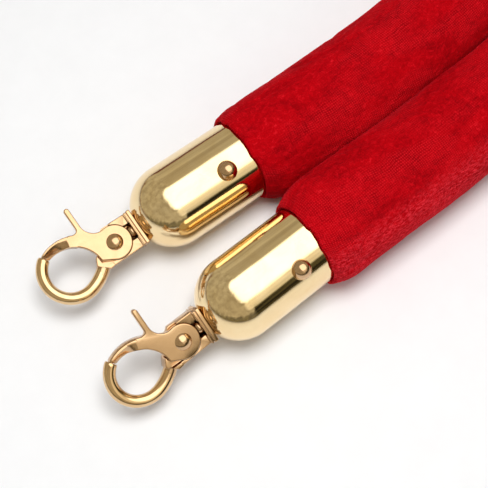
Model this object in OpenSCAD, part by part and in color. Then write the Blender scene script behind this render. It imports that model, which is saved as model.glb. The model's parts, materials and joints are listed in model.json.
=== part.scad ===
// Velvet barrier rope with two dome end caps, each carrying a swivel trigger hook.
// The rope lies doubled on a flat surface: both ends side by side, the fold at the far end.
// X runs from the hooks towards the rope, Z is up, and the surface is at Z = 0.

/* [Layout] */
// Distance between the two end caps' axes, measured at the dome centres
end_spacing = 53; // [50:1:60]
// How far the +Y end sits ahead of the -Y end along X
end_stagger = 4; // [0:0.5:10]
// Angle by which each cap points inwards towards the other
toe_in = 1.3; // [0:0.1:2]
// Roll of the +Y hook about its swivel
hook_roll_a = 18; // [0:1:40]
// Roll of the -Y hook about its swivel
hook_roll_b = 35; // [0:1:40]

/* [End cap] */
// Outside radius of the cap's tube and of its dome
cap_r = 19; // [18:0.5:22]
// Length of the straight tube, from the dome's centre to the mouth
cap_len = 39; // [36:1:60]
// Thickness of the cap's wall
cap_wall = 1; // [0.8:0.1:1.2]
// Distance of the screw from the mouth
screw_from_mouth = 14; // [12:0.5:18]
// Radius of the screw's ball head
screw_head_r = 4.6; // [3:0.1:4.8]

/* [Swivel] */
// Distance from the dome's centre to the flat seat at its tip
seat_x = 18.1; // [17.8:0.05:18.2]
// Radius of the swivel rivet's shank
shank_r = 2; // [1.5:0.1:2.2]

/* [Hook] */
// Half width of the hook's fork and base plate
fork_half_w = 8.6; // [8.4:0.1:9]
// Radius of the pivot boss on the hook and on the lever
boss_r = 7.8; // [7.4:0.1:8]
// Distance from the dome's centre to the lever's pivot
pivot_x = 31.2; // [31:0.1:33]
// Diameter of the hook's round bow
bow_d = 5.5; // [4.6:0.1:5.7]
// Diameter of the thicker arm between the bow and the shoulder
arm_d = 6; // [5.8:0.1:6.4]
// Radius of the bow's centre line
bow_r = 12.5; // [12:0.1:13]
// Length of the lever's thumb tab beyond the swivel's axis
tab_reach = 24.1; // [20:0.1:26]

/* [Rope] */
// Width of the velvet rope where it lies free
rope_w = 47.2; // [40:0.2:48]
// Height of the velvet rope where it lies free
rope_h = 42; // [38:0.5:42]
// Thickness of the velvet sleeve
sleeve_t = 1.2; // [1:0.1:1.5]

/* [Hidden] */
$fn = 64;
ENDS = ["a", "b"];

gold = [0.86, 0.68, 0.38];
steel = [0.72, 0.72, 0.74];
velvet = [0.72, 0.02, 0.06];
foam = [0.92, 0.9, 0.84];
wood = [0.8, 0.64, 0.43];

// Clearance between two pieces that touch but don't turn on each other
gap = 0.05;
// Radial clearance of a pin in its hole
pin_fit = 0.05;
// Moves the frame's origin under the middle of the two ends' metalwork
origin_shift = [14.56, -2.28, 0];

// Screw: how far each cap is rolled, so the screw leans towards -Y
screw_roll_a = 26;
screw_roll_b = 39;
screw_shank_r = 1.6;
screw_x = cap_len - screw_from_mouth;
// The ball head sits on a small flat let into the tube's wall
screw_flat = cap_r - 0.5;

// Swivel, along the cap's axis
seat_inner_x = seat_x - cap_wall;
washer_r = 5;
washer_t = 1;
washer_x = seat_inner_x - gap - washer_t;

// Hook: the base plate stands off the cap by `gap`, then a groove, a lip and the fork
plate_x = -(seat_x + 2 * gap);
plate_t = 2;
groove_t = 0.4;
lip_t = 0.7;
plate_half_h = 4.8;
fork_x = plate_x - plate_t - groove_t - lip_t;
window_half_w = 4;
window_len = 5.4;
web_t = 1;
body_low = -3.2;
body_top = 2.4;
boss_top = 0.1;
lever_low = 0.25;
lever_top = 3.2;
lever_gap = 0.3;
jaw_half_h = 2.6;
lever_rivet_r = 1.8;

// Torsion spring: its coil's radius, wire, turns, and how deep its pocket goes into hook and lever
spring_r = 3.4;
spring_wire = 0.8;
spring_turns = 2.5;
spring_pocket = 1.6;
pocket_r = spring_r + 1.2;

// Bow and jaw, in the pivot's own frame: [0, 0] is the lever's rivet, -X is away from the cap
bow_c = [-22.4, 0.6];
arm_r = 22;
// Headings along the bow's centre line: where the arm leaves the shoulder, meets the bow, and where it ends
arm_start = 222;
arm_end = 196;
bow_end = 34.5;
jaw_inner_c = [-23.3, -4];
jaw_inner_r = 14;
jaw_outer_c = [-21.5, -4];
jaw_outer_r = 18.5;
tab_x = [-11.1, -8.6];

// Plug and what is round it
plug_r = 15;
plug_x = [6, 36];
sleeve_in_cap_r = 16.9;
sleeve_start = 12;
band_x = [14, 18];
band_r = cap_r - cap_wall - 0.15;
// Distance beyond the mouth over which the rope swells to its free size
swell = 16;

// The rope's centre line, from inside the +Y cap, round the far fold, to inside the -Y cap
route = [
    [14, 26.2, 19], [28, 25.9, 19], [41.3, 25.6, 19], [48, 25.3, 19.5], [60, 24.4, 20.5],
    [80, 23.6, 21], [110, 23.5, 21], [140, 24.8, 21], [170, 28, 21], [200, 32.5, 21],
    [235, 36.8, 21], [270, 39, 21], [305, 41, 21], [345, 49, 21], [385, 67, 21],
    [425, 91, 21], [465, 109, 21], [505, 114, 21], [545, 106, 21], [578, 82, 21],
    [597, 48, 21], [600, 12, 21], [588, -25, 21], [562, -56, 21], [525, -75, 21],
    [483, -81, 21], [440, -73, 21], [400, -55, 21], [362, -33, 21], [322, -17, 21],
    [285, -10, 21], [248, -10.3, 21], [210, -15, 21], [175, -21, 21], [140, -24.8, 21],
    [105, -26.4, 21], [76, -26.6, 21], [56, -26.2, 20.5], [44, -25.9, 19.5], [37.3, -25.6, 19],
    [24, -25.9, 19], [10, -26.2, 19]
];
ring_sides = 12;
// Rings swept between one route point and the next
steps = 2;

// ---- Placing -------------------------------------------------------------------------------

function side(e) = e == "a" ? 1 : -1;
function dome_centre(e) = [side(e) * end_stagger / 2, side(e) * end_spacing / 2, cap_r];
function heading(e) = -side(e) * toe_in;
function screw_roll(e) = e == "a" ? screw_roll_a : screw_roll_b;
function hook_roll(e) = e == "a" ? hook_roll_a : hook_roll_b;

// Puts a piece made round the cap's axis, with the dome's centre at [0, 0, 0], in its place
module at_end(e) {
    translate(origin_shift + dome_centre(e)) rotate([0, 0, heading(e)]) children();
}

// Puts a piece made in the pivot's frame on the hook of one end
module at_hook(e) {
    at_end(e) rotate([hook_roll(e), 0, 0]) translate([-pivot_x, 0, 0]) children();
}

// A solid of revolution about X, from a profile drawn as [radius, x]
module about_x() {
    rotate([0, 90, 0]) rotate_extrude() children();
}

// ---- Rope ----------------------------------------------------------------------------------

function catmull(p0, p1, p2, p3, t) =
    0.5 * (2 * p1 + (p2 - p0) * t + (2 * p0 - 5 * p1 + 4 * p2 - p3) * t * t
        + (3 * p1 - p0 - 3 * p2 + p3) * t * t * t);

function route_at(i, t) =
    catmull(route[max(i - 1, 0)], route[i], route[i + 1], route[min(i + 2, len(route) - 1)], t);

centre_line = [
    for (i = [0 : len(route) - 2]) for (k = [0 : steps - 1]) route_at(i, k / steps),
    route[len(route) - 1]
];

// Distance of a point beyond the mouth of one cap, along that cap's axis
function past_mouth(p, e) =
    let (d = p - dome_centre(e)) d.x * cos(heading(e)) + d.y * sin(heading(e)) - cap_len;

function ease(t) = let (u = min(max(t, 0), 1)) u * u * (3 - 2 * u);

// Half width or half height of the sleeve at a point, from its size in the cap to its free size
function half_size(p, free) =
    let (out = min(past_mouth(p, "a") + (p.y < 0 ? 1000 : 0), past_mouth(p, "b") + (p.y < 0 ? 0 : 1000)))
    sleeve_in_cap_r + (free - sleeve_in_cap_r) * ease((out - 0.5) / swell);

function tangent(i) =
    let (
        a = centre_line[max(i - 1, 0)],
        b = centre_line[min(i + 1, len(centre_line) - 1)],
        d = [b.x - a.x, b.y - a.y, 0]
    ) d / norm(d);

// One ring of the rope's surface, `inset` inside the sleeve's outside
function ring(i, inset) =
    let (
        p = centre_line[i],
        t = tangent(i),
        across = [-t.y, t.x, 0],
        w = half_size(p, rope_w / 2) - inset,
        h = half_size(p, rope_h / 2) - inset
    )
    [for (k = [0 : ring_sides - 1])
        let (f = 360 * (k + 0.5) / ring_sides) p + across * w * cos(f) + [0, 0, h * sin(f)]];

// A tube's skin between rings `first` and `last`, as quads; the second grid of a hollow tube is reversed
function skin(rings, start, flip) =
    [for (i = [0 : rings - 2]) for (k = [0 : ring_sides - 1])
        let (
            n = (k + 1) % ring_sides,
            a = start + i * ring_sides,
            b = a + ring_sides,
            q = [a + k, a + n, b + n, b + k]
        ) flip ? [q[3], q[2], q[1], q[0]] : q];

// The flat ring of quads that joins the outer and inner edges at one end of a hollow tube
function end_ring(outer, inner, flip) =
    [for (k = [0 : ring_sides - 1])
        let (n = (k + 1) % ring_sides, q = [outer + k, inner + k, inner + n, outer + n])
        flip ? [q[3], q[2], q[1], q[0]] : q];

module swept_tube(inset, first, last) {
    rings = last - first + 1;
    polyhedron(
        points = [for (i = [first : last]) each ring(i, inset)],
        faces = concat(
            skin(rings, 0, false),
            [[for (k = [ring_sides - 1 : -1 : 0]) k]],
            [[for (k = [0 : ring_sides - 1]) (rings - 1) * ring_sides + k]]
        )
    );
}

module velvet_sleeve() {
    last = len(centre_line) - 1;
    inner = len(centre_line) * ring_sides;
    color(velvet) translate(origin_shift) polyhedron(
        points = concat(
            [for (i = [0 : last]) each ring(i, 0)],
            [for (i = [0 : last]) each ring(i, sleeve_t)]
        ),
        faces = concat(
            skin(last + 1, 0, false),
            skin(last + 1, inner, true),
            end_ring(0, inner, false),
            end_ring(last * ring_sides, inner + last * ring_sides, true)
        )
    );
}

// The core starts just past each plug and fills the sleeve
module foam_core() {
    core_gap = sleeve_t + 0.1;
    first = 4;
    color(foam) translate(origin_shift) swept_tube(core_gap, first, len(centre_line) - 1 - first);
}

// ---- Cap and what is in it -----------------------------------------------------------------

// Half section of a dome-ended cup of radius r, cut flat at -tip
module cup_profile(r, tip, length) {
    intersection() {
        union() {
            circle(r);
            translate([-r, 0]) square([2 * r, length]);
        }
        translate([0, -tip]) square([r, tip + length]);
    }
}

module end_cap(e) {
    color(gold) at_end(e) difference() {
        about_x() difference() {
            cup_profile(cap_r, seat_x, cap_len);
            cup_profile(cap_r - cap_wall, seat_inner_x, cap_len + 1);
        }
        rotate([0, -90, 0]) translate([0, 0, seat_x - 2 * cap_wall])
            cylinder(r = shank_r + pin_fit, h = 3 * cap_wall);
        rotate([screw_roll(e), 0, 0]) translate([screw_x, 0, 0]) {
            translate([0, 0, cap_r / 2]) cylinder(r = screw_shank_r + pin_fit, h = cap_r);
            translate([0, 0, screw_flat]) cylinder(r = screw_head_r + gap, h = cap_wall);
        }
    }
}

module cap_screw(e) {
    shank_len = 13;
    head_h = 4.7;
    dome_r = (screw_head_r * screw_head_r + head_h * head_h) / (2 * head_h);
    color(gold) at_end(e) rotate([screw_roll(e), 0, 0]) translate([screw_x, 0, screw_flat + gap]) {
        translate([0, 0, -shank_len]) cylinder(r = screw_shank_r, h = shank_len + 1);
        intersection() {
            translate([0, 0, head_h - dome_r]) sphere(dome_r);
            cylinder(r = screw_head_r, h = head_h);
        }
    }
}

module end_plug(e) {
    color(wood) at_end(e) rotate([0, 90, 0]) translate([0, 0, plug_x[0]])
        cylinder(r = plug_r, h = plug_x[1] - plug_x[0]);
}

// Clamps the sleeve's end down on the plug
module sleeve_band(e) {
    color(steel) at_end(e) rotate([0, 90, 0]) translate([0, 0, band_x[0]]) difference() {
        cylinder(r = band_r, h = band_x[1] - band_x[0]);
        translate([0, 0, -1]) cylinder(r = sleeve_in_cap_r + 0.1, h = band_x[1] - band_x[0] + 2);
    }
}

module swivel_washer(e) {
    color(steel) at_end(e) rotate([0, -90, 0]) translate([0, 0, washer_x]) difference() {
        cylinder(r = washer_r, h = washer_t);
        translate([0, 0, -1]) cylinder(r = shank_r + pin_fit, h = washer_t + 2);
    }
}

// Headed in the fork's window, peened over the washer inside the cap
module swivel_rivet(e) {
    head_x = -fork_x + gap;
    head_r = 3;
    head_t = 1.9;
    peen_r = 3.2;
    peen_t = 1.2;
    color(gold) at_end(e) rotate([0, -90, 0]) {
        translate([0, 0, washer_x - gap - peen_t]) cylinder(r = peen_r, h = peen_t);
        translate([0, 0, washer_x - gap - peen_t / 2]) cylinder(r = shank_r, h = head_x - washer_x + peen_t);
        translate([0, 0, head_x]) cylinder(r1 = head_r, r2 = head_r - 0.3, h = head_t);
    }
}

// ---- Hook ----------------------------------------------------------------------------------

// Direction from the bow's centre line to the centre that it bends about, at a heading
function inward(h) = [sin(h), -cos(h)];

arm_c = bow_c + (arm_r - bow_r) * inward(arm_end);

// A stretch of round bar bent about centre c, between two headings
module bent_bar(c, r, d, from, to) {
    translate([c.x, c.y, 0]) rotate([0, 0, to + 90])
        rotate_extrude(angle = from - to) translate([r, 0]) circle(d = d);
}

module hook_body(e) {
    shoulder = [[-4, -fork_half_w], [-7.8, -8.9], [-12.6, -4.7], [-10.7, -1.2], [-6, 0], [-4, -4]];
    // Low enough to leave the lever's face proud of it
    shoulder_top = arm_d / 2 + 0.1;
    fork_end = -2;
    fork_start = fork_x + pivot_x;
    color(gold) at_hook(e) difference() {
        union() {
            // Base plate, groove and lip
            translate([plate_x - plate_t + pivot_x, -fork_half_w, -plate_half_h])
                cube([plate_t, 2 * fork_half_w, 2 * plate_half_h]);
            translate([fork_start, -fork_half_w + 0.6, -plate_half_h + 0.6])
                cube([plate_t + groove_t + lip_t, 2 * fork_half_w - 1.2, 2 * plate_half_h - 1.2]);
            translate([fork_start, -fork_half_w + 0.2, -plate_half_h + 0.2])
                cube([lip_t, 2 * fork_half_w - 0.4, 2 * plate_half_h - 0.4]);
            // Fork arms and the boss under the lever
            translate([fork_end, -fork_half_w, body_low])
                cube([fork_start - fork_end + 0.1, 2 * fork_half_w, body_top - body_low]);
            translate([0, 0, body_low]) cylinder(r = boss_r, h = boss_top - body_low);
            // Web that closes the window from behind
            translate([fork_start - window_len - web_t, -window_half_w - web_t, body_low - web_t])
                cube([window_len + web_t + 0.1, 2 * (window_half_w + web_t), web_t + 0.1]);
            // Shoulder, and the bow that grows out of it
            translate([0, 0, body_low]) linear_extrude(shoulder_top - body_low) polygon(shoulder);
            bent_bar(arm_c, arm_r, arm_d, arm_start + 3, arm_end);
            bent_bar(bow_c, bow_r, bow_d, arm_end + 2, bow_end);
        }
        // Room for the lever's boss and for the root of its jaw
        translate([0, 0, boss_top]) cylinder(r = boss_r + lever_gap, h = lever_top);
        translate([0, 0, boss_top]) linear_extrude(lever_top) difference() {
            translate([-11, -7]) square([11, 11.5]);
            translate(jaw_inner_c) circle(jaw_inner_r - 2 * lever_gap);
        }
        // Room for the lever's neck as it swings open
        translate([fork_end - 1, window_half_w, boss_top]) cube([5, fork_half_w, lever_top]);
        // The window that the swivel rivet's head turns in
        translate([fork_start - window_len, -window_half_w, body_low])
            cube([window_len, 2 * window_half_w, 8]);
        // Holes for the swivel rivet and the lever's rivet, and the spring's pocket
        translate([fork_start - 1, 0, 0]) rotate([0, 90, 0]) cylinder(r = shank_r + pin_fit, h = 6);
        translate([0, 0, body_low - 1]) cylinder(r = lever_rivet_r + pin_fit / 2, h = 8);
        translate([0, 0, boss_top - spring_pocket]) cylinder(r = pocket_r, h = spring_pocket + 1);
    }
}

// Outline of the lever's flat plate: pivot boss, neck and thumb tab
module lever_outline() {
    neck_c = [-1.9, 14.2];
    neck_r = 6.7;
    tab_r = (tab_x[1] - tab_x[0]) / 2;
    circle(boss_r);
    difference() {
        polygon([
            [0, 7.5], [-1.9, 7.5], [tab_x[1], 14.2], [tab_x[1], tab_reach - tab_r],
            [tab_x[0], tab_reach - tab_r], [tab_x[0], 13.4], [-17, 14.1], [-18.5, 9],
            [-8.9, -4.2], [-4.5, -6.4]
        ]);
        translate(neck_c) circle(neck_r);
        translate(jaw_inner_c) circle(jaw_inner_r);
    }
    translate([(tab_x[0] + tab_x[1]) / 2, tab_reach - tab_r]) circle(tab_r);
}

// Outline of the jaw, from the plate to the bow's end
module jaw_outline() {
    difference() {
        intersection() {
            translate(jaw_outer_c) circle(jaw_outer_r);
            // The tip is cut square to the bow's end, just clear of it
            polygon([[-12.2, 4], [-12.2, 16], [-27, 17], [-30.6, 13.4], [-27.1, 8.3]]);
        }
        translate(jaw_inner_c) circle(jaw_inner_r);
    }
}

module trigger_lever(e) {
    tab_low = 0.9;
    color(gold) at_hook(e) difference() {
        union() {
            translate([0, 0, lever_low]) linear_extrude(lever_top - lever_low) lever_outline();
            translate([0, 0, -jaw_half_h]) linear_extrude(2 * jaw_half_h) jaw_outline();
        }
        translate([0, 0, -1]) cylinder(r = lever_rivet_r + pin_fit, h = 6);
        translate([0, 0, -1]) cylinder(r = pocket_r, h = 1 + boss_top + spring_pocket);
        translate([tab_x[0] - 1, 16, -1]) cube([5, 10, 1 + tab_low]);
    }
}

// Domed head on the lever's face, flat peened head under the hook's boss
module lever_rivet(e) {
    head_r = 3.7;
    head_h = 1.7;
    dome_r = (head_r * head_r + head_h * head_h) / (2 * head_h);
    peen_h = 0.9;
    color(gold) at_hook(e) {
        translate([0, 0, body_low - gap - peen_h]) cylinder(r = head_r - 0.5, h = peen_h);
        translate([0, 0, body_low - gap - peen_h / 2])
            cylinder(r = lever_rivet_r, h = lever_top - body_low + peen_h);
        translate([0, 0, lever_top + gap]) intersection() {
            translate([0, 0, head_h - dome_r]) sphere(dome_r);
            cylinder(r = head_r, h = head_h);
        }
    }
}

// Torsion spring wound round the lever's rivet, in the pocket between the hook's boss and the lever
module trigger_spring(e) {
    sides = 8;
    per_turn = 20;
    count = spring_turns * per_turn;
    rise = 2 * spring_pocket - spring_wire - 0.3;
    points = [for (i = [0 : count]) for (k = [0 : sides - 1])
        let (
            a = 360 * i / per_turn,
            f = 360 * k / sides,
            r = spring_r + spring_wire / 2 * cos(f)
        )
        [r * cos(a), r * sin(a), boss_top - rise / 2 + rise * i / count + spring_wire / 2 * sin(f)]];
    faces = concat(
        [for (i = [0 : count - 1]) for (k = [0 : sides - 1])
            let (n = (k + 1) % sides)
            [i * sides + k, i * sides + n, (i + 1) * sides + n, (i + 1) * sides + k]],
        [[for (k = [sides - 1 : -1 : 0]) k]],
        [[for (k = [0 : sides - 1]) count * sides + k]]
    );
    color(steel) at_hook(e) polyhedron(points, faces);
}

// ---- Nodes ---------------------------------------------------------------------------------

velvet_sleeve();
foam_core();
for (e = ENDS) {
    end_cap(e);
    cap_screw(e);
    end_plug(e);
    sleeve_band(e);
    swivel_rivet(e);
    swivel_washer(e);
    hook_body(e);
    trigger_lever(e);
    lever_rivet(e);
    trigger_spring(e);
}
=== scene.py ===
import json
import math

import bmesh
import bpy
import numpy as np
from mathutils import Matrix, Vector, noise


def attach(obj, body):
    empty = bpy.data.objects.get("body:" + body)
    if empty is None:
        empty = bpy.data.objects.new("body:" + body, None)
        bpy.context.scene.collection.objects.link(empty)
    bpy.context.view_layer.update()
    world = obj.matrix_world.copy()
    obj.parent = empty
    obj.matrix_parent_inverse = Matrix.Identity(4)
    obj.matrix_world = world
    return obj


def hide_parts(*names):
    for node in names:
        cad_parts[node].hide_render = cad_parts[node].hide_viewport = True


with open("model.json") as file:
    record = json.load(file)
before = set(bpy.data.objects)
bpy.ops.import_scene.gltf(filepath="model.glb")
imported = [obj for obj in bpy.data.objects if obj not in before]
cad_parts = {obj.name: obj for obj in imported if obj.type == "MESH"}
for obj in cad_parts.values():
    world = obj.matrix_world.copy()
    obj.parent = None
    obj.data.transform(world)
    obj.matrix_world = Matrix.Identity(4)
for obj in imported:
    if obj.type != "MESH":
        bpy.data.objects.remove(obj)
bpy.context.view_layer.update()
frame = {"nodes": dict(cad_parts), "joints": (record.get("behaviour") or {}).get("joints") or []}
MM = 0.001

# ---- Where the two ends are ------------------------------------------------------------------

# From the dome's centre to the hook's base plate, along the cap's axis
PLATE_X = 18.2
CAP_R, CAP_LEN, CAP_WALL, SEAT_X = 19.0, 39.0, 1.0, 18.1
joints = {j["name"]: j for j in frame["joints"]}


def axes(x, z, origin):
    """A matrix from a local frame in millimetres to the row frame in metres."""
    x, z = Vector(x).normalized(), Vector(z).normalized()
    y = z.cross(x)
    m = Matrix((x, y, z)).transposed().to_4x4()
    return Matrix.Translation(origin) @ m @ Matrix.Scale(MM, 4)


def cap_frame(e):
    """Origin at the dome's centre, +X towards the rope, +Z up."""
    j = joints["swivel_" + e]
    n = Vector(j["axis"])
    return axes(n, (0, 0, 1), Vector(j["pos_m"]) + n * PLATE_X * MM)


def hook_frame(e):
    """Origin at the lever's pivot, +X towards the cap, +Z along the rivet, out of the lever's face."""
    j = joints["trigger_" + e]
    return axes(joints["swivel_" + e]["axis"], -Vector(j["axis"]), Vector(j["pos_m"]))


ENDS = "ab"
CAP = {e: cap_frame(e) for e in ENDS}
HOOK = {e: hook_frame(e) for e in ENDS}

# ---- Camera ----------------------------------------------------------------------------------

CAM_ELEVATION, CAM_HEADING = math.radians(66.2), math.radians(51.8)
CAM_DISTANCE, CAM_LENS, CAM_SENSOR = 0.485, 81.15, 36
# From the middle between the two domes to the point the camera looks at
CAM_AIM = (15.5, -8.5, 0)
middle = (CAP["a"].translation + CAP["b"].translation) / 2
aim = middle + Vector(CAM_AIM) * MM
look = Vector((
    math.cos(CAM_ELEVATION) * math.cos(CAM_HEADING),
    math.cos(CAM_ELEVATION) * math.sin(CAM_HEADING),
    -math.sin(CAM_ELEVATION),
))
cam = bpy.data.objects.new("camera", bpy.data.cameras.new("camera"))
bpy.context.scene.collection.objects.link(cam)
cam.data.lens, cam.data.sensor_width = CAM_LENS, CAM_SENSOR
cam.data.clip_start, cam.data.clip_end = 0.01, 20
cam.location = aim - look * CAM_DISTANCE
cam.rotation_mode = "QUATERNION"
cam.rotation_quaternion = look.to_track_quat("-Z", "Y")
bpy.context.scene.camera = cam

# ---- Node materials --------------------------------------------------------------------------

# Distance round the rope in metres, which the velvet's UV map spans
GIRTH = 0.142
# Spacing of the velvet's ground threads round the rope and along it, in metres
THREADS_ROUND, THREADS_ALONG = 0.00092, 0.00104


class Nodes:
    """A short way to write the node tree of a light, a world or a material."""

    def __init__(self, owner):
        owner.use_nodes = True
        self.tree = owner.node_tree
        self.tree.nodes.clear()

    def add(self, kind, **settings):
        n = self.tree.nodes.new(kind)
        for k, v in settings.items():
            setattr(n, k, v)
        return n

    def link(self, a, b):
        self.tree.links.new(a, b)

    def put(self, value, socket):
        if isinstance(value, bpy.types.NodeSocket):
            self.link(value, socket)
        else:
            socket.default_value = value

    def math(self, op, a, b=0.0, c=0.0):
        n = self.add("ShaderNodeMath", operation=op)
        for v, s in zip((a, b, c), n.inputs):
            self.put(v, s)
        return n.outputs[0]

    def split(self, vector):
        """The parts of a vector, as sockets named X, Y and Z."""
        n = self.add("ShaderNodeSeparateXYZ")
        self.link(vector, n.inputs[0])
        return n.outputs

    def stretch(self, vector, scale):
        n = self.add("ShaderNodeMapping")
        self.link(vector, n.inputs[0])
        n.inputs["Scale"].default_value = scale
        return n.outputs[0]

    def coords(self, kind="Object", scale=(1, 1, 1)):
        return self.stretch(self.add("ShaderNodeTexCoord").outputs[kind], scale)

    def noise(self, vector, scale, detail=2.0, rough=0.5, distortion=0.0):
        n = self.add("ShaderNodeTexNoise")
        self.link(vector, n.inputs["Vector"])
        n.inputs["Scale"].default_value = scale
        n.inputs["Detail"].default_value = detail
        n.inputs["Roughness"].default_value = rough
        n.inputs["Distortion"].default_value = distortion
        return n.outputs["Fac"]

    def remap(self, value, a, b, lo, hi, smooth=False):
        n = self.add("ShaderNodeMapRange", interpolation_type="SMOOTHSTEP" if smooth else "LINEAR")
        self.put(value, n.inputs["Value"])
        for k, v in (("From Min", a), ("From Max", b), ("To Min", lo), ("To Max", hi)):
            self.put(v, n.inputs[k])
        return n.outputs[0]

    def mix(self, fac, a, b):
        n = self.add("ShaderNodeMix", data_type="RGBA")
        self.put(fac, n.inputs["Factor"])
        for v, s in ((a, n.inputs[6]), (b, n.inputs[7])):
            self.put(v if isinstance(v, bpy.types.NodeSocket) else (*v, 1.0), s)
        return n.outputs[2]

    def bump(self, height, distance, strength, normal=None):
        n = self.add("ShaderNodeBump")
        n.inputs["Strength"].default_value = strength
        n.inputs["Distance"].default_value = distance
        self.link(height, n.inputs["Height"])
        if normal is not None:
            self.link(normal, n.inputs["Normal"])
        return n.outputs[0]


class Surface(Nodes):
    """The node tree of a new material, round one Principled BSDF."""

    def __init__(self, name):
        self.mat = bpy.data.materials.new(name)
        super().__init__(self.mat)
        out = self.add("ShaderNodeOutputMaterial")
        self.bsdf = self.add("ShaderNodeBsdfPrincipled")
        self.link(self.bsdf.outputs[0], out.inputs[0])

    def set(self, **values):
        for k, v in values.items():
            self.put(v, self.bsdf.inputs[k.replace("_", " ").title().replace("Ior", "IOR")])


def gold_plate(name, bright, deep, polish):
    """Gold plating on polished metal: faint waviness, wipe marks, hairline scratches and dust."""
    n = Surface(name)
    where = n.coords()
    smear = n.noise(where, 90, 4, 0.6, 0.6)
    hair = n.noise(n.coords(scale=(1, 9, 9)), 900, 2, 0.7)
    specks = n.remap(n.noise(where, 1500, 2, 0.6), 0.7, 0.8, 0, 1)
    tone = n.mix(n.remap(smear, 0.35, 0.7, 0, 1), bright, deep)
    tone = n.mix(n.math("MULTIPLY", specks, 0.25), tone, (0.6, 0.42, 0.2))
    rough = n.remap(smear, 0.3, 0.75, polish, polish * 1.5 + 0.02)
    rough = n.math("ADD", rough, n.math("MULTIPLY", specks, 0.12))
    rough = n.math("ADD", rough, n.remap(hair, 0.62, 0.8, 0, 0.05))
    wave = n.bump(n.noise(where, 55, 1, 0.4), 0.0006, 0.35)
    fine = n.bump(hair, 0.00002, 0.25, wave)
    n.set(base_color=tone, metallic=1.0, roughness=rough, normal=fine)
    return n.mat


def zinc_steel(name):
    n = Surface(name)
    where = n.coords()
    grain = n.noise(n.coords(scale=(1, 1, 14)), 600, 3, 0.6)
    spangle = n.noise(where, 260, 3, 0.5)
    n.set(
        base_color=n.mix(n.remap(spangle, 0.35, 0.65, 0, 1), (0.55, 0.56, 0.58), (0.7, 0.7, 0.71)),
        metallic=1.0,
        roughness=n.remap(grain, 0.3, 0.7, 0.22, 0.42),
        normal=n.bump(grain, 0.00004, 0.4),
    )
    return n.mat


def plug_wood(name):
    """Turned softwood, with its grain along the cap."""
    n = Surface(name)
    rings = n.noise(n.coords(scale=(0.12, 1, 1)), 420, 4, 0.6, 1.2)
    pores = n.noise(n.coords(scale=(0.08, 1, 1)), 2600, 2, 0.7)
    tone = n.mix(n.remap(rings, 0.3, 0.7, 0, 1), (0.62, 0.41, 0.22), (0.78, 0.58, 0.36))
    n.set(
        base_color=n.mix(n.remap(pores, 0.6, 0.75, 0, 0.6), tone, (0.35, 0.2, 0.1)),
        roughness=n.remap(rings, 0.3, 0.7, 0.55, 0.75),
        normal=n.bump(pores, 0.00015, 0.5),
    )
    return n.mat


def velvet(name):
    """Crushed red velvet. The UV map is in metres: U runs along the rope, V round it."""
    n = Surface(name)
    uv = n.coords("UV")
    part = n.split(uv)
    wobble = n.noise(uv, 110, 2, 0.5)

    def rows(value, pitch):
        """Threads as a smooth ridge wave, bent a little by noise."""
        shifted = n.math("MULTIPLY_ADD", wobble, 0.0026, value)
        wave = n.math("SINE", n.math("MULTIPLY", shifted, 2 * math.pi / pitch))
        return n.remap(wave, -1, 1, 0, 1)

    grid = n.math("MULTIPLY", rows(part["Y"], THREADS_ROUND), rows(part["X"], THREADS_ALONG))
    # Where the pile lies flat the ground threads show; the patches run along the rope
    flat = n.noise(n.coords("UV", (0.4, 1, 1)), 48, 3, 0.55, 0.4)
    flat = n.remap(flat, 0.42, 0.62, 0, 1, smooth=True)
    crush = n.noise(n.coords("UV", (0.6, 1, 1)), 75, 5, 0.66, 1.2)
    tufts = n.noise(n.coords("UV", (0.75, 1, 1)), 620, 4, 0.75, 0.8)
    pile = n.noise(uv, 1700, 3, 0.7)

    deep, mid, light = (0.25, 0.0, 0.002), (0.43, 0.0003, 0.003), (0.6, 0.002, 0.007)
    # Painted highlight: a bright red that stands in for light caught by the pile and threads
    painted_glint = (0.8, 0.016, 0.026)
    tone = n.mix(n.remap(crush, 0.34, 0.62, 0, 1), deep, mid)
    tone = n.mix(n.remap(tufts, 0.42, 0.66, 0, 0.65), tone, light)
    # Painted highlight: where the pile lies flat, the ground threads are mixed towards the bright red
    tone = n.mix(n.math("MULTIPLY", grid, n.math("MULTIPLY_ADD", flat, 0.6, 0.06)), tone, painted_glint)
    # Painted highlight: random patches where raised tufts meet crushed folds are mixed towards the same
    # bright red
    painted_sheen_patches = n.math("MULTIPLY", n.remap(tufts, 0.56, 0.7, 0, 1), n.remap(crush, 0.5, 0.66, 0.12, 0.85))
    tone = n.mix(painted_sheen_patches, tone, painted_glint)
    # Painted highlight: bright streaks of crushed pile, painted along the outer side of the returning leg
    # only
    turn = n.math("COSINE", n.math("MULTIPLY_ADD", part["Y"], 2 * math.pi / GIRTH, -0.1))
    outer_side = n.remap(turn, 0.62, 0.93, 0, 1, smooth=True)
    beside = n.math("MULTIPLY", outer_side, n.remap(part["X"], 0.7, 1, 0, 1))
    streaks = n.noise(n.coords("UV", (0.45, 1.2, 1)), 1000, 3, 0.7, 0.5)
    crushed = n.math("MULTIPLY", beside, n.remap(streaks, 0.45, 0.64, 0, 0.75))
    # Painted highlight: the streaks are mixed towards a bright red
    tone = n.mix(crushed, tone, (0.9, 0.04, 0.06))
    tone = n.mix(n.remap(pile, 0.3, 0.5, 0.35, 0), tone, deep)

    thread = n.math("MULTIPLY", grid, n.math("MULTIPLY", flat, 0.6))
    height = n.math("MULTIPLY_ADD", pile, 0.6, n.math("MULTIPLY_ADD", tufts, 1.1, thread))
    folds = n.bump(crush, 0.0014, 0.6)
    nap = n.bump(height, 0.0004, 0.75, folds)
    n.set(
        base_color=tone,
        roughness=0.85,
        normal=nap,
        sheen_weight=0.24,
        sheen_roughness=0.35,
        sheen_tint=(1.0, 0.05, 0.08, 1.0),
        specular_ior_level=0.03,
    )
    return n.mat


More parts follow.
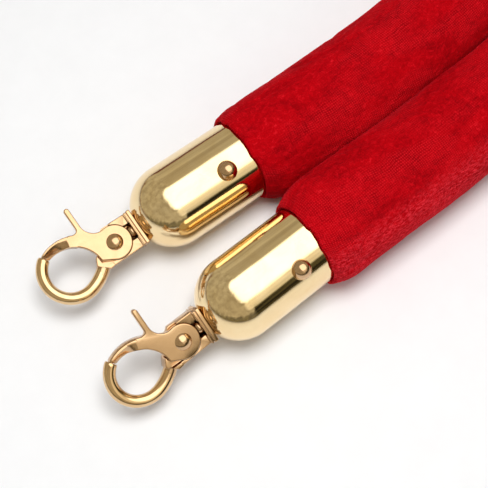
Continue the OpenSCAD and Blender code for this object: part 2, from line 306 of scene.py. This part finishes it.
def studio_floor(name):
    n = Surface(name)
    grain = n.noise(n.coords(), 60, 3, 0.6)
    n.set(
        base_color=n.mix(n.remap(grain, 0.3, 0.7, 0, 1), (0.89, 0.888, 0.888), (0.91, 0.908, 0.908)),
        roughness=0.6,
        specular_ior_level=0.2,
    )
    # Painted glow: far from the part the floor glows white to the camera alone, so that the sweep fades to
    # the backdrop's white, for views from low down
    far = n.add("ShaderNodeVectorMath", operation="LENGTH")
    n.link(n.coords(), far.inputs[0])
    fade = n.remap(far.outputs["Value"], 0.3, 1.1, 0, 0.55, smooth=True)
    seen = n.add("ShaderNodeLightPath").outputs["Is Camera Ray"]
    n.set(emission_color=(1.0, 1.0, 1.0, 1.0), emission_strength=n.math("MULTIPLY", fade, seen))
    return n.mat


# The spun caps are paler and shinier than the cast hooks
GOLD_CAP = gold_plate("gold_cap", (0.92, 0.73, 0.44), (0.88, 0.67, 0.37), 0.028)
GOLD_CAST = gold_plate("gold_cast", (0.64, 0.425, 0.245), (0.58, 0.375, 0.205), 0.11)
GOLD_BAR = gold_plate("gold_bar", (0.8, 0.57, 0.32), (0.72, 0.48, 0.25), 0.035)
STEEL = zinc_steel("zinc_steel")
WOOD = plug_wood("plug_wood")
VELVET = velvet("crushed_velvet")

# ---- Mesh helpers ----------------------------------------------------------------------------

# Edges of a plate that turn more than this many degrees are rounded
ROUNDED_CORNER = 25


def make_object(name, bm, material, angle=30):
    """A mesh object from bm, smooth apart from its sharp edges."""
    bmesh.ops.recalc_face_normals(bm, faces=bm.faces)
    me = bpy.data.meshes.new(name)
    bm.to_mesh(me)
    bm.free()
    me.materials.append(material)
    me.shade_smooth()
    me.set_sharp_from_angle(angle=math.radians(angle))
    o = bpy.data.objects.new(name, me)
    bpy.context.scene.collection.objects.link(o)
    return o


def place(o, matrix, body, slot, *nodes):
    """Moves a piece made in local millimetres to its place, and hides the CAD nodes that it stands for."""
    o.data.transform(matrix)
    if matrix.determinant() < 0:
        o.data.flip_normals()
    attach(o, body)
    if nodes:
        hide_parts(*nodes)
    return o


def dressed(o, modifiers):
    """Applies modifiers, given as (kind, settings), and returns the object with its new mesh."""
    for kind, settings in modifiers:
        m = o.modifiers.new(kind.lower(), kind)
        for k, v in settings.items():
            setattr(m, k, v)
    dg = bpy.context.evaluated_depsgraph_get()
    me = bpy.data.meshes.new_from_object(o.evaluated_get(dg), depsgraph=dg)
    old = o.data
    o.modifiers.clear()
    o.data = me
    bpy.data.meshes.remove(old)
    return o


def combine(base, others, how):
    """Unites with base, or cuts from it, each of the others in turn."""
    for other in others:
        dressed(base, [("BOOLEAN", {"object": other, "operation": how, "solver": "EXACT"})])
        me = other.data
        bpy.data.objects.remove(other)
        bpy.data.meshes.remove(me)
    return base


def arc(centre, r, start, end, steps):
    """Points on a circle between two angles in degrees, both included."""
    return [
        (centre[0] + r * math.cos(math.radians(a)), centre[1] + r * math.sin(math.radians(a)))
        for a in np.linspace(start, end, steps + 1)
    ]


def revolve(profile, segments):
    """A solid turned about X from (x, r) points. A point with r = 0 closes an end."""
    bm = bmesh.new()
    rings = []
    for x, r in profile:
        if r == 0:
            rings.append([bm.verts.new((x, 0, 0))])
            continue
        rings.append([
            bm.verts.new((x, r * math.cos(f), r * math.sin(f)))
            for f in (2 * math.pi * k / segments for k in range(segments))
        ])
    pairs = list(zip(rings, rings[1:]))
    if len(rings[0]) > 1 and len(rings[-1]) > 1:
        pairs.append((rings[-1], rings[0]))
    for a, b in pairs:
        for k in range(segments):
            n = (k + 1) % segments
            quad = [a[k % len(a)], a[n % len(a)], b[n % len(b)], b[k % len(b)]]
            corners = []
            for v in quad:
                if v not in corners:
                    corners.append(v)
            bm.faces.new(corners)
    return bm


def prism(outline, low, high, bevel, segments=3):
    """A plate of a given outline, with its rims and sharp corners rounded."""
    bm = bmesh.new()
    ring = [bm.verts.new((x, y, low)) for x, y in outline]
    bottom = bm.faces.new(ring)
    top = bmesh.ops.extrude_face_region(bm, geom=[bottom])
    for v in (g for g in top["geom"] if isinstance(g, bmesh.types.BMVert)):
        v.co.z = high
    bmesh.ops.recalc_face_normals(bm, faces=bm.faces)
    if bevel:
        sharp = [e for e in bm.edges if e.calc_face_angle(0) > math.radians(ROUNDED_CORNER)]
        bmesh.ops.bevel(
            bm, geom=sharp, offset=bevel, segments=segments, profile=0.5, affect="EDGES",
            clamp_overlap=True,
        )
    return bm


def block(low, high, bevel):
    """A box between two corners with rounded edges."""
    (x0, y0, z0), (x1, y1, z1) = low, high
    return prism([(x0, y0), (x1, y0), (x1, y1), (x0, y1)], z0, z1, bevel)


def loft(sections):
    """Joins equal rings of points with quads, and closes both ends."""
    bm = bmesh.new()
    rings = [[bm.verts.new(p) for p in s] for s in sections]
    count = len(rings[0])
    for a, b in zip(rings, rings[1:]):
        for k in range(count):
            n = (k + 1) % count
            bm.faces.new((a[k], a[n], b[n], b[k]))
    bm.faces.new(rings[0])
    bm.faces.new(rings[-1])
    return bm


# ---- Rope ------------------------------------------------------------------------------------

# The route of the CAD sleeve, in millimetres, and the shift that both share
ROUTE_SHIFT = (14.56, -2.28, 0)
ROUTE = [
    (14, 26.2, 19), (28, 25.9, 19), (41.3, 25.6, 19), (48, 25.3, 19.5), (60, 24.4, 20.5),
    (80, 23.6, 21), (110, 23.5, 21), (140, 24.8, 21), (170, 28, 21), (200, 32.5, 21),
    (235, 36.8, 21), (270, 39, 21), (305, 41, 21), (345, 49, 21), (385, 67, 21),
    (425, 91, 21), (465, 109, 21), (505, 114, 21), (545, 106, 21), (578, 82, 21),
    (597, 48, 21), (600, 12, 21), (588, -25, 21), (562, -56, 21), (525, -75, 21),
    (483, -81, 21), (440, -73, 21), (400, -55, 21), (362, -33, 21), (322, -17, 21),
    (285, -10, 21), (248, -10.3, 21), (210, -15, 21), (175, -21, 21), (140, -24.8, 21),
    (105, -26.4, 21), (76, -26.6, 21), (56, -26.2, 20.5), (44, -25.9, 19.5), (37.3, -25.6, 19),
    (24, -25.9, 19), (10, -26.2, 19),
]
ROPE_W, ROPE_H = 47.4, 42.0
# Half width and half height of the rope where it comes out of a cap
MOUTH_W, MOUTH_H = 20.4, 20.2
# Distance along the rope from its end to the cap's mouth
MOUTH_RUN = 27.3
# Past this distance along X the two legs no longer touch; the fade to there is this long
LEGS_PART, PART_FADE = 300, 40
RING_STEP = 2.2
AROUND = 112


def catmull(points, per):
    """A smooth curve through the points."""
    p = np.array([points[0], *points, points[-1]], float)
    out = []
    for i in range(len(points) - 1):
        a, b, c, d = p[i : i + 4]
        for t in np.arange(per) / per:
            square, cube = 2 * a - 5 * b + 4 * c - d, 3 * b - a - 3 * c + d
            out.append(0.5 * (2 * b + (c - a) * t + square * t**2 + cube * t**3))
    return np.array([*out, p[-2]])


def spaced(points, step):
    """The same curve with its points a given distance apart."""
    run = np.concatenate([[0], np.cumsum(np.linalg.norm(np.diff(points, axis=0), axis=1))])
    count = int(round(run[-1] / step)) + 1
    at = np.linspace(0, run[-1], count)
    return np.stack([np.interp(at, run, points[:, k]) for k in range(3)], axis=1), at


centre, run = spaced(catmull(ROUTE, 24) + np.array(ROUTE_SHIFT), RING_STEP)
ROPE_LENGTH = run[-1]
tangents = np.gradient(centre, axis=0)
tangents[:, 2] = 0
tangents /= np.linalg.norm(tangents, axis=1)[:, None]
# Distances along the rope at which it leaves the two caps' mouths
mouth_a = MOUTH_RUN
mouth_b = ROPE_LENGTH - MOUTH_RUN


def smooth(t):
    t = np.clip(t, 0, 1)
    return t * t * (3 - 2 * t)


def contact_line(x):
    """Where the two legs press on each other, for a distance along X before the shift."""
    near, halfway = 0.9 * smooth((x - 60) / 90), 3.2 * smooth((x - 150) / 60)
    return -2.9 + near + halfway + 9.0 * smooth((x - 205) / 80)


def mouth_roll(f, end):
    """Ring offsets at a mouth as (along the rope, radius): the pile bulges back over the cap's rim."""
    q = Vector((2.3 * math.cos(f), 2.3 * math.sin(f), 5.0 * end))
    lap = 0.8 + 1.1 * noise.noise(q * 1.4) + 0.25 * noise.noise(q * 3.5)
    puff = 0.5 * noise.noise(q * 2.2 + Vector((4, 0, 0)))
    return [
        (-0.5, 17.2), (0.35, 17.6), (0.75, 18.2), (0.6, 18.9), (-0.1 - lap * 0.4, 19.25),
        (-0.4 - lap * 0.8, 19.6), (-0.5 - lap, 20.15), (-0.3 - lap * 0.85, 20.8 + puff * 0.4),
        (0.4 - lap * 0.5, 21.4 + puff * 0.7),
    ]


def rope_rings():
    """(kind, distance, roll index) for each ring: plain ones, and those at the mouths a and b."""
    roll = len(mouth_roll(0, 0))
    rings = [("a", -14 + mouth_a, None), ("a", mouth_a - 6, None), ("a", mouth_a - 2, None)]
    rings += [("a", mouth_a, k) for k in range(roll)]
    inner = [s for s in run if mouth_a + 1.6 < s < mouth_b - 1.6]
    rings += [("plain", s, None) for s in inner]
    rings += [("b", mouth_b, k) for k in reversed(range(roll))]
    rings += [("b", mouth_b + 2, None), ("b", mouth_b + 6, None), ("b", mouth_b + 14, None)]
    return rings


def rope_at(s):
    """Centre, direction and sideways unit vector at a distance along the rope."""
    p, t = (np.array([np.interp(s, run, a[:, k]) for k in range(3)]) for a in (centre, tangents))
    t /= np.linalg.norm(t)
    return Vector(p), Vector(t), Vector((-t[1], t[0], 0))


def rope_mesh():
    angles = np.linspace(0, 2 * math.pi, AROUND, endpoint=False)
    rolls = {end: [mouth_roll(f, n) for f in angles] for n, end in enumerate(ENDS)}
    bm = bmesh.new()
    uv_at = {}
    rings = []
    for kind, s, k in rope_rings():
        p, t, side = rope_at(s)
        out = min(s - mouth_a, mouth_b - s)
        forward = 1 if kind == "a" else -1
        swell = float(smooth((out + 8) / 19)) if kind == "plain" else 0.0
        half_w = MOUTH_W + (ROPE_W / 2 - MOUTH_W) * swell
        half_h = MOUTH_H + (ROPE_H / 2 - MOUTH_H) * swell
        # The inner side of each leg is the side that faces the other leg
        inner_sign = -1 if p.y > ROUTE_SHIFT[1] else 1
        beside = float(1 - smooth((p.x - ROUTE_SHIFT[0] - LEGS_PART) / PART_FADE))
        ring = []
        for n, f in enumerate(angles):
            c, sn = math.cos(f), math.sin(f)
            if kind != "plain":
                back, radius = (0.0, 16.9) if k is None else rolls[kind][n][k]
                pos = p + t * back * forward + side * radius * c + Vector((0, 0, radius * sn))
                along = s + back * forward
            else:
                bulge = 1.0
                is_inner = c * side.y * inner_sign > 0
                if is_inner:
                    bulge += 0.12 * beside * abs(c) * swell
                power = 0.9 if is_inner else 0.95
                w = half_w * bulge * math.copysign(abs(c) ** power, c)
                h = half_h * math.copysign(abs(sn) ** 0.93, sn)
                q = Vector((s * 0.03, 2.2 * c, 2.2 * sn))
                broad = noise.noise(q * 0.55 + Vector((0, 0, 7))) * 0.8
                pleats = noise.noise(Vector((s * 0.02, 6 * c, 6 * sn))) * 1.1
                pleats *= math.exp(-max(out, 0) / 22)
                q = Vector((s * 0.04 + 1.5 * c, 2.4 * c, 2.4 * sn)) + Vector((3, 1, 4))
                dent = 1 - abs(noise.noise(q))
                dent = -max(0.0, dent - 0.86) * 4.0
                ripple = noise.noise(Vector((s * 0.16, 9 * c, 9 * sn))) * 0.16
                move = (broad + pleats + dent) * swell + ripple
                flow = math.hypot(w, h)
                w += move * w / flow
                h += move * h / flow
                pos = p + side * w + Vector((0, 0, h))
                along = s
                if beside > 0 and is_inner:
                    line = contact_line(pos.x - ROUTE_SHIFT[0]) + ROUTE_SHIFT[1]
                    gap = (pos.y - line) * -inner_sign
                    if gap < 0.5:
                        # Presses flat with a soft knee, so that the crease is not a cut
                        knee = 0.38 * math.exp((gap - 0.5) / 0.5)
                        pos.y = line - inner_sign * 0.12 - inner_sign * knee
            pos.z = max(pos.z, 0.25 + 0.12 * noise.noise(pos * 0.2))
            v = bm.verts.new(pos * MM)
            uv_at[v] = (along * MM, n / AROUND * GIRTH)
            ring.append(v)
        rings.append(ring)
    uv = bm.loops.layers.uv.new("UVMap")
    for a, b in zip(rings, rings[1:]):
        for k in range(AROUND):
            n = (k + 1) % AROUND
            f = bm.faces.new((a[k], a[n], b[n], b[k]))
            for loop in f.loops:
                u, w = uv_at[loop.vert]
                if n == 0 and loop.vert in (a[n], b[n]):
                    w = GIRTH
                loop[uv].uv = (u, w)
    bm.faces.new(rings[0])
    bm.faces.new(rings[-1])
    return bm


rope = make_object("velvet_sleeve_soft", rope_mesh(), VELVET, 80)
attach(rope, "root")
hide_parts("velvet_sleeve", "foam_core")

# ---- End caps --------------------------------------------------------------------------------


def cap_profile():
    """Half section of the cup as (x, r) points: outside from the seat to the mouth, then back inside."""
    lip = CAP_WALL / 2
    tip = math.degrees(math.acos(SEAT_X / CAP_R))
    seat_r = CAP_R * math.sin(math.radians(tip))
    hole = 2.1
    outside = [
        (-CAP_R * math.cos(math.radians(a)), CAP_R * math.sin(math.radians(a)))
        for a in np.linspace(tip, 90, 40)
    ]
    inner_r = CAP_R - CAP_WALL
    inside = [
        (-inner_r * math.cos(math.radians(a)), inner_r * math.sin(math.radians(a)))
        for a in np.linspace(90, tip, 20)
    ]
    rim = [
        (CAP_LEN - lip + lip * math.sin(math.radians(a)), CAP_R - lip + lip * math.cos(math.radians(a)))
        for a in np.linspace(0, 180, 9)
    ]
    body = [(x, CAP_R) for x in np.linspace(4, CAP_LEN - 2, 10)]
    seat = [(-SEAT_X, hole), (-SEAT_X, seat_r - 0.3)]
    return [*seat, *outside, *body, *rim, *inside, (-SEAT_X + CAP_WALL, hole)]


def end_cap(e):
    o = make_object("end_cap_" + e + "_shell", revolve(cap_profile(), 160), GOLD_CAP, 35)
    place(o, CAP[e], "root", "gold_plate", "end_cap_" + e)


# The screw's place along the cap, and its head's radius
SCREW_X, SCREW_R = 25.0, 4.6
# Distance of the collar's underside from the cap's axis, and the ball's radius
SCREW_SEAT, BALL_R = 18.55, 4.48
# How far round the cap each screw sits from straight up, in degrees
SCREW_ROLL = {"a": 26, "b": 39}


def ball_screw(e):
    """Ball head on a thin collar, with the shank that goes into the plug."""
    base = SCREW_SEAT
    collar = [
        (base - 13, 0), (base - 13, 1.2), (base - 12, 1.6), (base, 1.6), (base, SCREW_R - 0.05),
        (base + 0.35, SCREW_R), (base + 0.6, SCREW_R - 0.1), (base + 0.7, SCREW_R - 0.3),
    ]
    ball_c = base + 0.35
    start = math.degrees(math.asin((base + 0.8 - ball_c) / BALL_R))
    ball = [
        (ball_c + BALL_R * math.sin(math.radians(a)), BALL_R * math.cos(math.radians(a)))
        for a in np.linspace(start, 90, 18)[:-1]
    ]
    profile = [*collar, *ball, (ball_c + BALL_R, 0)]
    o = make_object("cap_screw_" + e + "_ball", revolve(profile, 48), GOLD_CAST, 40)
    turn = Matrix.Rotation(math.radians(SCREW_ROLL[e]), 4, "X")
    up = Matrix.Rotation(math.radians(-90), 4, "Y")
    where = CAP[e] @ turn @ Matrix.Translation((SCREW_X, 0, 0)) @ up
    place(o, where, "root", "gold_plate", "cap_screw_" + e)


# ---- Hooks -----------------------------------------------------------------------------------

BOSS_R = 7.8
BOW_C, BOW_R, ARM_R = Vector((-22.4, 0.6)), 12.5, 22.0
ARM_START, ARM_END, BOW_END = 222, 196, 34.5
JAW_IN, JAW_IN_R = Vector((-23.3, -4)), 14.0
JAW_OUT, JAW_OUT_R = Vector((-21.5, -4)), 18.5
TAB = (-11.1, -8.6)
TAB_REACH = 24.1
NECK_C, NECK_R = (-1.9, 14.2), 6.7
BODY_LOW, BODY_TOP, BOSS_TOP = -3.2, 2.4, 0.1
LEVER_LOW, LEVER_TOP = 0.25, 3.2
# Radii of the spring's pocket, and of the rivet's bore through the body and through the lever
POCKET_R, BODY_BORE_R, LEVER_BORE_R = 4.6, 1.83, 1.85
# Share of the jaw's length over which its chamfer deepens
CHAMFER_RUN = 0.32
# The bow is more polished than the plates; its finish starts here
BAR_START = -12.6


def inward(h):
    """Unit vector towards the centre of an arc, from its point at a heading in degrees."""
    return Vector((math.sin(math.radians(h)), -math.cos(math.radians(h))))


ARM_C = BOW_C + (ARM_R - BOW_R) * inward(ARM_END)


def bow_bar():
    """The round bar from the shoulder to the bow's end, thicker at the shoulder, rounded at the end."""
    line = [(ARM_C, ARM_R, h) for h in np.linspace(ARM_START + 5, ARM_END, 12)]
    line += [(BOW_C, BOW_R, h) for h in np.linspace(ARM_END, BOW_END, 64)[1:]]
    count = len(line)
    sections = []
    for i, (c, r, h) in enumerate(line):
        t = i / (count - 1)
        radius = 3.0 - 0.25 * float(smooth(t * 2.2))
        left = count - 1 - i
        if left < 3:
            radius = (2.45, 2.72, 2.78)[left]
        mid = c - r * inward(h)
        out = -inward(h)
        ring = []
        for f in np.linspace(0, 2 * math.pi, 28, endpoint=False):
            wide, high = radius * math.cos(f), radius * math.sin(f)
            ring.append(Vector((mid.x + out.x * wide, mid.y + out.y * wide, high)))
        sections.append(ring)
    return loft(sections)


def hook_body(e):
    name = "hook_body_" + e + "_cast"
    lower = [
        (10, -8.4), (-4, -8.6), (-7.6, -8.6), (-11.6, -4.6), (-10.3, -1.1), (-8.2, 0.4),
        *arc((0, 0), BOSS_R, 172, 112, 14), (-1.6, 8.5), (10, 8.4),
    ]
    body = make_object(name, prism(lower, BODY_LOW, BODY_TOP, 0.45), GOLD_CAST)
    plate = make_object("plate", block((11.0, -8.6, -4.8), (13.0, 8.6, 4.8), 0.5), GOLD_CAST)
    core = make_object("core", block((9.5, -8.0, -4.2), (11.5, 8.0, 4.2), 0.2), GOLD_CAST)
    lip = make_object("lip", block((9.9, -8.4, -4.6), (10.6, 8.4, 4.6), 0.25), GOLD_CAST)
    bow = make_object("bow", bow_bar(), GOLD_CAST)
    step = [(-5.2, -8.6), (-7.8, -8.9), (-12.6, -4.7), (-10.7, -1.2), (-8.6, 0.2), (-6.5, -3)]
    step = make_object("step", prism(step, BODY_LOW - 0.02, 3.1, 0.35), GOLD_CAST)
    # Closes the window from behind
    web = block((3.5, -5, BODY_LOW - 1), (10.0, 5, BODY_LOW + 0.1), 0.3)
    web = make_object("web", web, GOLD_CAST)
    combine(body, [core, plate, lip, web, step, bow], "UNION")
    recess = prism(arc((0, 0), BOSS_R + 0.3, 0, 354, 59), BOSS_TOP, 6, 0)
    recess = make_object("recess", recess, GOLD_CAST)
    bulge_outline = [(0, 5), (-11, 5), *arc(JAW_IN, JAW_IN_R - 0.6, 30, -12, 10), (-4.5, -7), (0, -7)]
    bulge = make_object("bulge", prism(bulge_outline, BOSS_TOP, 6, 0), GOLD_CAST)
    neck = prism([(-3, 4), (2, 4), (2, 12), (-3, 12)], BOSS_TOP, 6, 0)
    neck = make_object("neck", neck, GOLD_CAST)
    window = make_object("window", block((4.5, -4, BODY_LOW), (9.9, 4, 6), 0.5), GOLD_CAST)
    pocket = make_object("pocket", prism(arc((0, 0), POCKET_R, 0, 350, 35), -1.5, 2, 0), GOLD_CAST)
    bore = make_object("bore", prism(arc((0, 0), BODY_BORE_R, 0, 345, 23), -5, 2, 0), GOLD_CAST)
    eye = revolve([(8, 0), (8, 2.05), (14, 2.05), (14, 0)], 32)
    eye = make_object("eye", eye, GOLD_CAST)
    combine(body, [recess, bulge, neck, window, pocket, bore, eye], "DIFFERENCE")
    rounding = {"width": 0.16, "segments": 2, "limit_method": "ANGLE", "angle_limit": math.radians(40)}
    dressed(body, [("BEVEL", rounding)])
    body.data.materials.append(GOLD_BAR)
    for f in body.data.polygons:
        f.material_index = int(f.center.x < BAR_START)
    body.data.shade_smooth()
    body.data.set_sharp_from_angle(angle=math.radians(35))
    place(body, HOOK[e], "hook_" + e, "gold_plate", "hook_body_" + e)


def plate_outline():
    """The lever's flat plate, from the boss past the thumb tab to where the jaw takes over."""
    tab_r = (TAB[1] - TAB[0]) / 2
    tab_c = (sum(TAB) / 2, TAB_REACH - tab_r)
    return [
        *arc((0, 0), BOSS_R, 104, -122, 60),
        *arc(JAW_IN, JAW_IN_R, 1, 66, 24),
        *arc(JAW_OUT, JAW_OUT_R, 73, 64, 3),
        *arc((-12.6, 14.2), 1.5, -90, 0, 5),
        *arc(tab_c, tab_r, 180, 0, 12),
        *arc(NECK_C, NECK_R, 180, 262, 18),
    ]


def jaw_loft():
    """The jaw: past the flat plate it keeps a ridge outside, and a chamfer slopes towards the eye."""
    plate_end, chamfer_fall = 0.245, 2.35
    sections = []
    for t in sorted([*np.linspace(0, 1, 30), plate_end, plate_end + CHAMFER_RUN]):
        inner_a, outer_a = math.radians(52 + 57.2 * t), math.radians(58 + 60.5 * t)
        inner = JAW_IN + JAW_IN_R * Vector((math.cos(inner_a), math.sin(inner_a)))
        outer = JAW_OUT + JAW_OUT_R * Vector((math.cos(outer_a), math.sin(outer_a)))
        past = max(0.0, (t - plate_end) / (1 - plate_end))
        z_out = LEVER_TOP - 0.01 - 0.6 * past
        z_in = z_out - chamfer_fall * min(1.0, max(0.0, (t - plate_end) / CHAMFER_RUN))
        profile = [
            (0.0, -1.3), (0.0, z_in - 0.5), (0.03, z_in - 0.05), (0.1, z_in + 0.12 * (z_out - z_in)),
            (0.66, z_out - 0.12 * (z_out - z_in)), (0.76, z_out), (0.9, z_out - 0.12), (0.97, z_out - 0.5),
            (1.0, z_out - 1.1), (1.0, -1.2), (0.93, -2.1), (0.78, -2.55), (0.25, -2.55), (0.07, -2.1),
        ]
        if t == 1:
            profile = [(0.5 + (w - 0.5) * 0.9, z * 0.88 + 0.05) for w, z in profile]
        sections.append([Vector((*inner.lerp(outer, w), z)) for w, z in profile])
    return loft(sections)


def trigger_lever(e):
    plate = make_object(
        "trigger_lever_" + e + "_cast", prism(plate_outline(), LEVER_LOW, LEVER_TOP, 0.55, 4), GOLD_CAST
    )
    jaw = make_object("jaw", jaw_loft(), GOLD_CAST)
    combine(plate, [jaw], "UNION")
    pocket = make_object("pocket", prism(arc((0, 0), POCKET_R, 0, 350, 35), -1, 1.7, 0), GOLD_CAST)
    bore = make_object("bore", prism(arc((0, 0), LEVER_BORE_R, 0, 345, 23), -2, 5, 0), GOLD_CAST)
    combine(plate, [pocket, bore], "DIFFERENCE")
    plate.data.shade_smooth()
    plate.data.set_sharp_from_angle(angle=math.radians(32))
    place(plate, HOOK[e], "lever_" + e, "gold_plate", "trigger_lever_" + e)


def upright(profile, segments):
    """A turned piece whose axis is Z, from (z, r) points."""
    bm = revolve(profile, segments)
    bmesh.ops.transform(bm, matrix=Matrix.Rotation(math.radians(-90), 4, "Y"), verts=bm.verts)
    return bm


def lever_rivet(e):
    top = LEVER_TOP + 0.05
    head_r, head_h = 3.75, 1.75
    dome_r = (head_r**2 + head_h**2) / (2 * head_h)
    half = math.degrees(math.asin(head_r / dome_r))
    dome = [
        (top + head_h - dome_r + dome_r * math.cos(math.radians(a)), dome_r * math.sin(math.radians(a)))
        for a in np.linspace(half, 0, 14)[:-1]
    ]
    low = BODY_LOW - 0.05
    profile = [
        (low - 0.9, 0), (low - 0.9, 2.5), (low - 0.65, 3.0), (low - 0.15, 3.2), (low, 3.1), (low, 1.8),
        (top, 1.8), (top, head_r - 0.1), *dome, (top + head_h, 0),
    ]
    o = make_object("lever_rivet_" + e + "_dome", upright(profile, 56), GOLD_CAST, 40)
    place(o, HOOK[e], "hook_" + e, "gold_plate", "lever_rivet_" + e)


def swivel_rivet(e):
    """Head in the fork's window, shank through plate and dome, peened end in the cap."""
    # The head rests against the window side of the fork, with a small gap
    window_side, gap = PLATE_X + 3.1, 0.05
    head = -window_side - gap
    profile = [
        (head - 1.9, 0), (head - 1.9, 2.1), (head - 1.7, 2.6), (head - 0.9, 2.95), (head - 0.2, 3.0),
        (head, 2.9), (head, 2.0), (-15.95, 2.0), (-15.95, 3.1), (-15.4, 3.0), (-14.9, 2.2), (-14.75, 0),
    ]
    o = make_object("swivel_rivet_" + e + "_head", revolve(profile, 40), GOLD_CAST, 40)
    place(o, CAP[e], "root", "gold_plate", "swivel_rivet_" + e)


for e in ENDS:
    end_cap(e)
    ball_screw(e)
    hook_body(e)
    trigger_lever(e)
    lever_rivet(e)
    swivel_rivet(e)
    # Hidden inside: these keep their CAD shapes
    for node, material in (
        ("end_plug_", WOOD),
        ("sleeve_band_", STEEL),
        ("swivel_washer_", STEEL),
        ("trigger_spring_", STEEL),
    ):
        o = frame["nodes"][node + e]
        o.data.materials.clear()
        o.data.materials.append(material)

# ---- Floor, lights and world ------------------------------------------------------------------

FLOOR_SIZE = 12
# How far a softbox's corners are rounded, as a share of its side
SOFTBOX_CORNER = 0.3

bpy.ops.mesh.primitive_plane_add(size=FLOOR_SIZE, location=(0, 0, 0))
floor = bpy.context.object
floor.name = "floor"
floor.data.materials.append(studio_floor("studio_floor"))


def softbox(name, angle, heading, size, distance, radiance, shift, edge, colour=(1, 1, 1)):
    """
    A flat light over the caps, of a given radiance, which fades towards its rim as a diffuser does.
    Angle is from straight up, towards a heading about Z, both in degrees. Edge is the width of the fade,
    as a share of the side, and shift moves the light along X.
    """
    light = bpy.data.lights.new(name, "AREA")
    light.shape, light.size, light.size_y = "RECTANGLE", size[0], size[1]
    light.energy, light.color = radiance * math.pi * size[0] * size[1], colour
    n = Nodes(light)
    glow = n.add("ShaderNodeEmission")
    n.link(glow.outputs[0], n.add("ShaderNodeOutputLight").inputs[0])
    spot = n.add("ShaderNodeNewGeometry").outputs["Parametric"]
    part = n.split(spot)
    # Distance past a rounded rectangle set in by the corner radius, broken up a little by noise
    past = 0.0
    for axis in ("X", "Y"):
        rim = n.math("MINIMUM", part[axis], n.math("SUBTRACT", 1, part[axis]))
        over = n.math("MAXIMUM", n.math("SUBTRACT", SOFTBOX_CORNER, rim), 0)
        past = n.math("MULTIPLY_ADD", over, over, past)
    ragged = n.math("MULTIPLY_ADD", n.noise(spot, 7, 3, 0.6), 0.16, -0.08)
    past = n.math("ADD", n.math("SQRT", past), ragged)
    fade = n.remap(past, SOFTBOX_CORNER - edge, SOFTBOX_CORNER, 1, 0, smooth=True)
    n.link(fade, glow.inputs["Strength"])
    o = bpy.data.objects.new(name, light)
    bpy.context.scene.collection.objects.link(o)
    a, h = math.radians(angle), math.radians(heading)
    back = Vector((math.sin(a) * math.cos(h), math.sin(a) * math.sin(h), math.cos(a)))
    o.location = middle + back * distance + Vector((shift, 0, 0))
    o.rotation_euler = (0, a, h)
    o.visible_camera = False
    return o


# The gold mirrors a wide softbox; the shadows come from a smaller lamp straight above
key = softbox("key", 9, -90, (0.92, 0.98), 0.62, 1.85, shift=0.24, edge=0.15)
key.visible_diffuse = False
lamp = softbox("lamp", 2, -90, (0.42, 0.5), 0.8, 10.3, shift=0.01, edge=0.1)
lamp.visible_glossy = False
softbox("reflector", 52, -90, (0.4, 0.8), 0.8, 0.5, shift=0.2, edge=0.16, colour=(1.0, 0.95, 0.82))


def studio_world():
    """A dim warm room for the gold, dark near the horizon; the camera sees plain white behind the floor."""
    w = bpy.data.worlds.new("studio")
    bpy.context.scene.world = w
    n = Nodes(w)
    out = n.add("ShaderNodeOutputWorld")
    room = n.add("ShaderNodeBackground")
    where = n.add("ShaderNodeTexCoord").outputs["Generated"]
    part = n.split(where)
    blotch = n.noise(where, 5, 4, 0.65)
    height = n.math("MULTIPLY_ADD", n.math("SUBTRACT", blotch, 0.5), 0.35, part["Z"])
    # The dark band reaches about 30 degrees up on the -Y side and 7 on the +Y side
    reach = n.remap(part["Y"], -0.7, 0.5, 0.52, 0.13, smooth=True)
    ahead = n.remap(part["X"], 0.0, 0.2, 0, 1, smooth=True)
    # It is narrower on the hooks' side
    reach = n.math("MULTIPLY", reach, n.math("MULTIPLY_ADD", ahead, 0.4, 0.6))
    band = n.math("SUBTRACT", 1, n.remap(height, n.math("SUBTRACT", reach, 0.1), reach, 0, 1))
    tone = n.mix(n.remap(blotch, 0.35, 0.65, 0, 1), (0.36, 0.315, 0.225), (0.56, 0.51, 0.38))
    # Towards the hooks' side the band breaks up into dark patches; on the +Y side it is a deep red
    patches = n.remap(n.noise(where, 3.2, 3, 0.6), 0.46, 0.6, 0.15, 1)
    far_ahead = n.math("MULTIPLY", patches, n.remap(part["X"], -0.3, -0.6, 0, 1, smooth=True))
    cover = n.math("MAXIMUM", n.math("MULTIPLY_ADD", ahead, 0.3, 0.7), far_ahead)
    streak = n.remap(n.noise(n.stretch(where, (0.3, 1, 1)), 9, 3, 0.7), 0.42, 0.6, 0, 1)
    brown = n.mix(streak, (0.015, 0.012, 0.008), (0.17, 0.15, 0.075))
    dark = n.mix(n.remap(part["Y"], 0.1, 0.4, 0, 1), brown, (0.12, 0.006, 0.004))
    tone = n.mix(n.math("MULTIPLY", band, cover), tone, dark)
    n.link(tone, room.inputs[0])
    plain = n.add("ShaderNodeBackground")
    path = n.add("ShaderNodeLightPath")
    to_camera, to_matt = path.outputs["Is Camera Ray"], path.outputs["Is Diffuse Ray"]
    n.link(n.mix(to_camera, (0.36, 0.363, 0.37), (0.95, 0.95, 0.955)), plain.inputs[0])
    choose = n.add("ShaderNodeMixShader")
    # The camera sees plain white and matt surfaces an even grey; only the gold reflects the dim room
    n.link(n.math("MAXIMUM", to_camera, to_matt), choose.inputs[0])
    n.link(room.outputs[0], choose.inputs[1])
    n.link(plain.outputs[0], choose.inputs[2])
    n.link(choose.outputs[0], out.inputs[0])


studio_world()
bpy.context.scene.view_settings.view_transform = "Standard"
